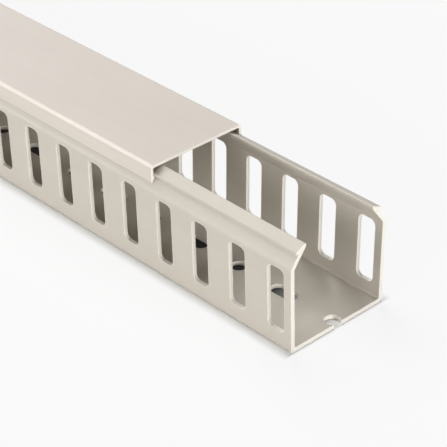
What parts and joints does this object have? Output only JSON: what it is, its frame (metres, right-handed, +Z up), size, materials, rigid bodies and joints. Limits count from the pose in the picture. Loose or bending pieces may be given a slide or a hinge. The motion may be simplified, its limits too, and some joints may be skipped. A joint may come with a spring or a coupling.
{
  "type": "slotted wire duct",
  "caption": "U-shaped plastic wiring duct with closed slots in both side walls, fixing holes in its floor and a clip-on cover slid back to bare one end.",
  "frame": {"origin": "middle of the underside, halfway along the base and the slid-back cover together", "axes": "+X along the duct towards the bare end, +Z up from the floor to the cover, Y across the duct"},
  "size_m": [2.0756, 0.0492, 0.0463],
  "materials": {
    "base_pvc": "beige-grey rigid PVC, satin as extruded, with punched slots",
    "cover_pvc": "beige-grey rigid PVC, satin as extruded, flat and smooth"
  },
  "bodies": {
    "base": {"base_channel": "base_pvc"},
    "cover": {"cover": "cover_pvc"}
  },
  "joints": [
    {"name": "cover_slide", "type": "slide", "parent": "base", "child": "cover", "axis": [1, 0, 0], "range_m": [-1.93, 0.0755]}
  ]
}
